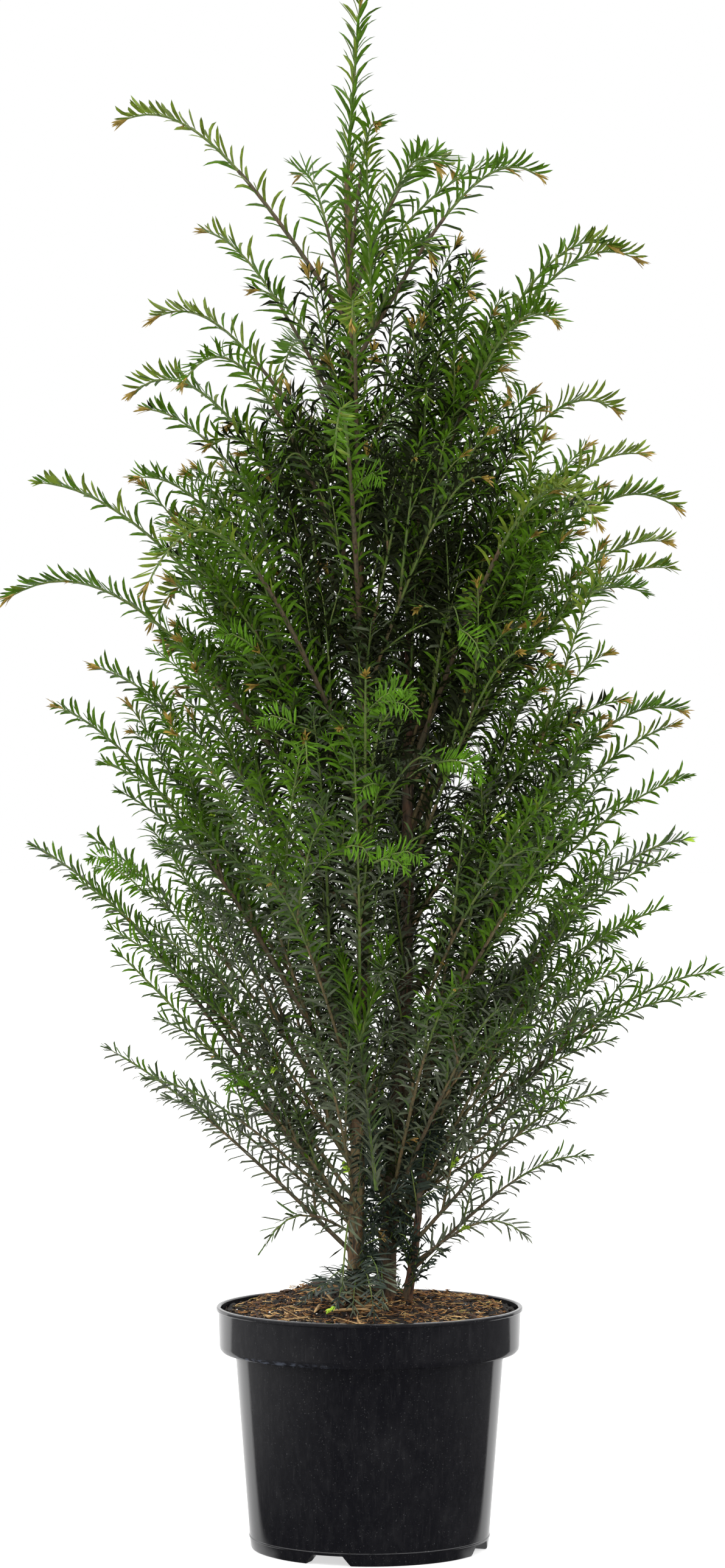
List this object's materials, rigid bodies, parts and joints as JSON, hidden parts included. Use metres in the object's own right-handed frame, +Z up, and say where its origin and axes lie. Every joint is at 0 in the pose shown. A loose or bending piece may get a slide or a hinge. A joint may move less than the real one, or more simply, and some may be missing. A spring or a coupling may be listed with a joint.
{
  "type": "english yew in a nursery pot",
  "caption": "Young upright yew with two stems and a broad, full crown of needled sprays, growing in a round black nursery pot filled with compost.",
  "frame": {"origin": "middle of the pot's flat underside", "axes": "+Z up along the pot's axis, -Y towards the plant's front, +X towards its right as seen from the front"},
  "size_m": [0.6609, 0.5328, 1.412],
  "materials": {
    "pot": "satin",
    "compost": "matte",
    "bark": "matte",
    "twig": "matte",
    "needles": "satin"
  },
  "bodies": {
    "root": {"pot": "pot", "soil": "compost", "stem_main": "bark", "stem_second": "bark", "stem_low": "bark", "bough_top_left": "twig", "bough_waist_left": "twig", "bough_waist_left_low": "twig", "bough_waist_right": "twig", "bough_skirt_left": "twig", "bough_skirt_left_low": "twig", "bough_skirt_right": "twig", "bough_hem_left": "twig", "bough_hem_right": "twig", "mass_leader": "needles", "mass_top_left": "needles", "mass_top_front": "needles", "mass_top_right": "needles", "mass_top_right_back": "needles", "mass_top_back": "needles", "mass_high_left": "needles", "mass_high_right": "needles", "mass_shoulder_left": "needles", "mass_shoulder_left_back": "needles", "mass_shoulder_left_front": "needles", "mass_shoulder_front": "needles", "mass_shoulder_right_front": "needles", "mass_shoulder_right": "needles", "mass_shoulder_back_right": "needles", "mass_shoulder_back": "needles", "mass_waist_left": "needles", "mass_waist_left_low": "needles", "mass_waist_left_front": "needles", "mass_waist_front": "needles", "mass_waist_right_front": "needles", "mass_waist_right": "needles", "mass_waist_right_low": "needles", "mass_waist_back_right": "needles", "mass_waist_back": "needles", "mass_waist_back_left": "needles", "mass_skirt_left": "needles", "mass_skirt_left_low": "needles", "mass_skirt_left_front": "needles", "mass_skirt_front": "needles", "mass_skirt_right_front": "needles", "mass_skirt_right": "needles", "mass_skirt_right_low": "needles", "mass_skirt_back": "needles", "mass_skirt_back_left": "needles", "mass_hem_left_high": "needles", "mass_hem_left": "needles", "mass_hem_left_low": "needles", "mass_hem_right": "needles", "mass_hem_right_low": "needles", "mass_hem_right_mid": "needles", "mass_hem_right_foot": "needles", "mass_hem_front": "needles", "mass_hem_back": "needles", "mass_hem_front_right": "needles", "mass_foot_front": "needles"}
  },
  "joints": []
}
